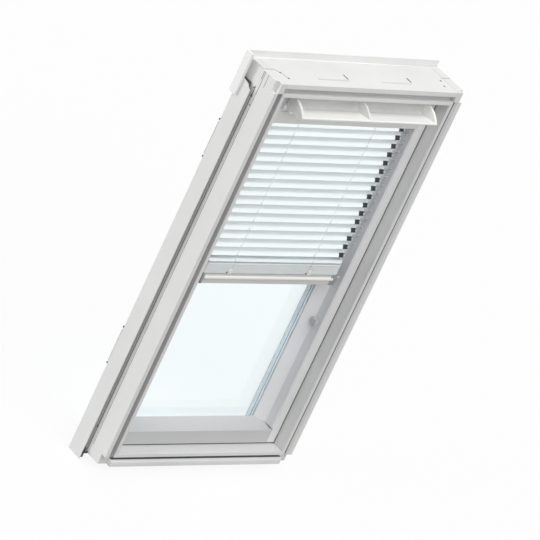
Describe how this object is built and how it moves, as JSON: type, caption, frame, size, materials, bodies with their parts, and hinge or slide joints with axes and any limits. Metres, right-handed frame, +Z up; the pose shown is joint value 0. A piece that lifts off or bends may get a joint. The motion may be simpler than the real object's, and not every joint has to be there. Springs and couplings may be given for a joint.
{
  "type": "skylight window blind",
  "caption": "Centre-pivot roof window seen from the room, with a ventilation control bar and a tilting venetian blind that slides in side channels.",
  "frame": {"origin": "middle of the bounding box's lowest face", "axes": "+X across the window, to the right seen from the room; -Y points into the room; +Z up the window's slope"},
  "size_m": [0.584, 0.138, 1.013],
  "materials": {
    "white_lacquer": "satin white lacquer",
    "painted_sheet": "satin white paint",
    "pivot_steel": "brushed",
    "sash_white": "satin white lacquer",
    "pane": "clear",
    "bar_white": "satin white paint",
    "channel_grey": "satin",
    "slat_white": "satin white paint",
    "rail_enamel": "satin white paint",
    "roller_cream": "satin",
    "cord_white": "woven",
    "nylon_grey": "satin"
  },
  "bodies": {
    "frame": {"frame_top": "white_lacquer", "frame_bottom": "white_lacquer", "frame_left": "white_lacquer", "frame_right": "white_lacquer", "top_cover": "painted_sheet", "side_cladding_left": "painted_sheet", "side_cladding_right": "painted_sheet", "bottom_cladding": "painted_sheet", "pivot_pin_left": "pivot_steel", "pivot_pin_right": "pivot_steel", "side_bracket_upper": "painted_sheet", "side_bracket_lower": "painted_sheet"},
    "sash": {"sash_top": "sash_white", "sash_bottom": "sash_white", "sash_left": "sash_white", "sash_right": "sash_white", "glass_unit": "pane", "blind_headrail": "rail_enamel", "side_channel_left": "channel_grey", "side_channel_right": "channel_grey", "channel_stop": "nylon_grey", "ladder_left": "cord_white", "ladder_right": "cord_white"},
    "control_bar": {"control_bar": "bar_white", "bar_bracket_left": "bar_white", "bar_bracket_middle": "bar_white", "bar_bracket_right": "bar_white"},
    "bottom_rail": {"bottom_rail": "rail_enamel", "slat_stack": "slat_white"},
    "tilt_roller": {"tilt_roller": "roller_cream"},
    "slat_carrier_02": {"slat_carrier_02": "nylon_grey"},
    "slat_carrier_03": {"slat_carrier_03": "nylon_grey"},
    "slat_carrier_04": {"slat_carrier_04": "nylon_grey"},
    "slat_carrier_05": {"slat_carrier_05": "nylon_grey"},
    "slat_carrier_06": {"slat_carrier_06": "nylon_grey"},
    "slat_carrier_07": {"slat_carrier_07": "nylon_grey"},
    "slat_carrier_08": {"slat_carrier_08": "nylon_grey"},
    "slat_carrier_09": {"slat_carrier_09": "nylon_grey"},
    "slat_carrier_10": {"slat_carrier_10": "nylon_grey"},
    "slat_carrier_11": {"slat_carrier_11": "nylon_grey"},
    "slat_carrier_12": {"slat_carrier_12": "nylon_grey"},
    "slat_carrier_13": {"slat_carrier_13": "nylon_grey"},
    "slat_carrier_14": {"slat_carrier_14": "nylon_grey"},
    "slat_carrier_15": {"slat_carrier_15": "nylon_grey"},
    "slat_01": {"slat_01": "slat_white"},
    "slat_02": {"slat_02": "slat_white"},
    "slat_03": {"slat_03": "slat_white"},
    "slat_04": {"slat_04": "slat_white"},
    "slat_05": {"slat_05": "slat_white"},
    "slat_06": {"slat_06": "slat_white"},
    "slat_07": {"slat_07": "slat_white"},
    "slat_08": {"slat_08": "slat_white"},
    "slat_09": {"slat_09": "slat_white"},
    "slat_10": {"slat_10": "slat_white"},
    "slat_11": {"slat_11": "slat_white"},
    "slat_12": {"slat_12": "slat_white"},
    "slat_13": {"slat_13": "slat_white"},
    "slat_14": {"slat_14": "slat_white"},
    "slat_15": {"slat_15": "slat_white"},
    "slat_16": {"slat_16": "slat_white"}
  },
  "joints": [
    {"name": "sash_pivot", "type": "hinge", "parent": "frame", "child": "sash", "pos_m": [0, 0.025, 0.5085], "axis": [1, 0, 0], "range_deg": [0, 160]},
    {"name": "vent_bar", "type": "hinge", "parent": "sash", "child": "control_bar", "pos_m": [0, -0.011, 0.9285], "axis": [1, 0, 0], "range_deg": [0, 25]},
    {"name": "blind_raise", "type": "slide", "parent": "sash", "child": "bottom_rail", "axis": [0, 0, 1], "range_m": [0, 0.205], "deforming": ["ladder_left", "ladder_right"]},
    {"name": "tilt_roller", "type": "hinge", "parent": "bottom_rail", "child": "tilt_roller", "pos_m": [0, -0.0052, 0.49125], "axis": [1, 0, 0], "range_deg": [-108, 12]},
    {"name": "carrier_slide_02", "type": "slide", "parent": "sash", "child": "slat_carrier_02", "axis": [0, 0, 1], "range_m": [0, 0.01387]},
    {"name": "carrier_slide_03", "type": "slide", "parent": "sash", "child": "slat_carrier_03", "axis": [0, 0, 1], "range_m": [0, 0.02753]},
    {"name": "carrier_slide_04", "type": "slide", "parent": "sash", "child": "slat_carrier_04", "axis": [0, 0, 1], "range_m": [0, 0.0412]},
    {"name": "carrier_slide_05", "type": "slide", "parent": "sash", "child": "slat_carrier_05", "axis": [0, 0, 1], "range_m": [0, 0.05487]},
    {"name": "carrier_slide_06", "type": "slide", "parent": "sash", "child": "slat_carrier_06", "axis": [0, 0, 1], "range_m": [0, 0.06853]},
    {"name": "carrier_slide_07", "type": "slide", "parent": "sash", "child": "slat_carrier_07", "axis": [0, 0, 1], "range_m": [0, 0.0822]},
    {"name": "carrier_slide_08", "type": "slide", "parent": "sash", "child": "slat_carrier_08", "axis": [0, 0, 1], "range_m": [0, 0.09587]},
    {"name": "carrier_slide_09", "type": "slide", "parent": "sash", "child": "slat_carrier_09", "axis": [0, 0, 1], "range_m": [0, 0.10953]},
    {"name": "carrier_slide_10", "type": "slide", "parent": "sash", "child": "slat_carrier_10", "axis": [0, 0, 1], "range_m": [0, 0.1232]},
    {"name": "carrier_slide_11", "type": "slide", "parent": "sash", "child": "slat_carrier_11", "axis": [0, 0, 1], "range_m": [0, 0.13687]},
    {"name": "carrier_slide_12", "type": "slide", "parent": "sash", "child": "slat_carrier_12", "axis": [0, 0, 1], "range_m": [0, 0.15053]},
    {"name": "carrier_slide_13", "type": "slide", "parent": "sash", "child": "slat_carrier_13", "axis": [0, 0, 1], "range_m": [0, 0.1642]},
    {"name": "carrier_slide_14", "type": "slide", "parent": "sash", "child": "slat_carrier_14", "axis": [0, 0, 1], "range_m": [0, 0.17787]},
    {"name": "carrier_slide_15", "type": "slide", "parent": "sash", "child": "slat_carrier_15", "axis": [0, 0, 1], "range_m": [0, 0.19153]},
    {"name": "slat_tilt_01", "type": "hinge", "parent": "sash", "child": "slat_01", "pos_m": [0, 0.006, 0.8819], "axis": [1, 0, 0], "range_deg": [-108, 12]},
    {"name": "slat_tilt_02", "type": "hinge", "parent": "slat_carrier_02", "child": "slat_02", "pos_m": [0, 0.006, 0.86017], "axis": [1, 0, 0], "range_deg": [-108, 12]},
    {"name": "slat_tilt_03", "type": "hinge", "parent": "slat_carrier_03", "child": "slat_03", "pos_m": [0, 0.006, 0.83844], "axis": [1, 0, 0], "range_deg": [-108, 12]},
    {"name": "slat_tilt_04", "type": "hinge", "parent": "slat_carrier_04", "child": "slat_04", "pos_m": [0, 0.006, 0.81671], "axis": [1, 0, 0], "range_deg": [-108, 12]},
    {"name": "slat_tilt_05", "type": "hinge", "parent": "slat_carrier_05", "child": "slat_05", "pos_m": [0, 0.006, 0.79498], "axis": [1, 0, 0], "range_deg": [-108, 12]},
    {"name": "slat_tilt_06", "type": "hinge", "parent": "slat_carrier_06", "child": "slat_06", "pos_m": [0, 0.006, 0.77325], "axis": [1, 0, 0], "range_deg": [-108, 12]},
    {"name": "slat_tilt_07", "type": "hinge", "parent": "slat_carrier_07", "child": "slat_07", "pos_m": [0, 0.006, 0.75152], "axis": [1, 0, 0], "range_deg": [-108, 12]},
    {"name": "slat_tilt_08", "type": "hinge", "parent": "slat_carrier_08", "child": "slat_08", "pos_m": [0, 0.006, 0.72979], "axis": [1, 0, 0], "range_deg": [-108, 12]},
    {"name": "slat_tilt_09", "type": "hinge", "parent": "slat_carrier_09", "child": "slat_09", "pos_m": [0, 0.006, 0.70806], "axis": [1, 0, 0], "range_deg": [-108, 12]},
    {"name": "slat_tilt_10", "type": "hinge", "parent": "slat_carrier_10", "child": "slat_10", "pos_m": [0, 0.006, 0.68633], "axis": [1, 0, 0], "range_deg": [-108, 12]},
    {"name": "slat_tilt_11", "type": "hinge", "parent": "slat_carrier_11", "child": "slat_11", "pos_m": [0, 0.006, 0.6646], "axis": [1, 0, 0], "range_deg": [-108, 12]},
    {"name": "slat_tilt_12", "type": "hinge", "parent": "slat_carrier_12", "child": "slat_12", "pos_m": [0, 0.006, 0.64287], "axis": [1, 0, 0], "range_deg": [-108, 12]},
    {"name": "slat_tilt_13", "type": "hinge", "parent": "slat_carrier_13", "child": "slat_13", "pos_m": [0, 0.006, 0.62114], "axis": [1, 0, 0], "range_deg": [-108, 12]},
    {"name": "slat_tilt_14", "type": "hinge", "parent": "slat_carrier_14", "child": "slat_14", "pos_m": [0, 0.006, 0.59941], "axis": [1, 0, 0], "range_deg": [-108, 12]},
    {"name": "slat_tilt_15", "type": "hinge", "parent": "slat_carrier_15", "child": "slat_15", "pos_m": [0, 0.006, 0.57768], "axis": [1, 0, 0], "range_deg": [-108, 12]},
    {"name": "slat_tilt_16", "type": "hinge", "parent": "bottom_rail", "child": "slat_16", "pos_m": [0, 0.006, 0.55595], "axis": [1, 0, 0], "range_deg": [-108, 12]}
  ],
  "couplings": [
    {"joint": "carrier_slide_02", "follows": "blind_raise", "ratio": 0.066667},
    {"joint": "carrier_slide_03", "follows": "blind_raise", "ratio": 0.13333},
    {"joint": "carrier_slide_04", "follows": "blind_raise", "ratio": 0.2},
    {"joint": "carrier_slide_05", "follows": "blind_raise", "ratio": 0.26667},
    {"joint": "carrier_slide_06", "follows": "blind_raise", "ratio": 0.33333},
    {"joint": "carrier_slide_07", "follows": "blind_raise", "ratio": 0.4},
    {"joint": "carrier_slide_08", "follows": "blind_raise", "ratio": 0.46667},
    {"joint": "carrier_slide_09", "follows": "blind_raise", "ratio": 0.53333},
    {"joint": "carrier_slide_10", "follows": "blind_raise", "ratio": 0.6},
    {"joint": "carrier_slide_11", "follows": "blind_raise", "ratio": 0.66667},
    {"joint": "carrier_slide_12", "follows": "blind_raise", "ratio": 0.73333},
    {"joint": "carrier_slide_13", "follows": "blind_raise", "ratio": 0.8},
    {"joint": "carrier_slide_14", "follows": "blind_raise", "ratio": 0.86667},
    {"joint": "carrier_slide_15", "follows": "blind_raise", "ratio": 0.93333},
    {"joint": "slat_tilt_01", "follows": "tilt_roller", "ratio": 1},
    {"joint": "slat_tilt_02", "follows": "tilt_roller", "ratio": 1},
    {"joint": "slat_tilt_03", "follows": "tilt_roller", "ratio": 1},
    {"joint": "slat_tilt_04", "follows": "tilt_roller", "ratio": 1},
    {"joint": "slat_tilt_05", "follows": "tilt_roller", "ratio": 1},
    {"joint": "slat_tilt_06", "follows": "tilt_roller", "ratio": 1},
    {"joint": "slat_tilt_07", "follows": "tilt_roller", "ratio": 1},
    {"joint": "slat_tilt_08", "follows": "tilt_roller", "ratio": 1},
    {"joint": "slat_tilt_09", "follows": "tilt_roller", "ratio": 1},
    {"joint": "slat_tilt_10", "follows": "tilt_roller", "ratio": 1},
    {"joint": "slat_tilt_11", "follows": "tilt_roller", "ratio": 1},
    {"joint": "slat_tilt_12", "follows": "tilt_roller", "ratio": 1},
    {"joint": "slat_tilt_13", "follows": "tilt_roller", "ratio": 1},
    {"joint": "slat_tilt_14", "follows": "tilt_roller", "ratio": 1},
    {"joint": "slat_tilt_15", "follows": "tilt_roller", "ratio": 1},
    {"joint": "slat_tilt_16", "follows": "tilt_roller", "ratio": 1}
  ]
}
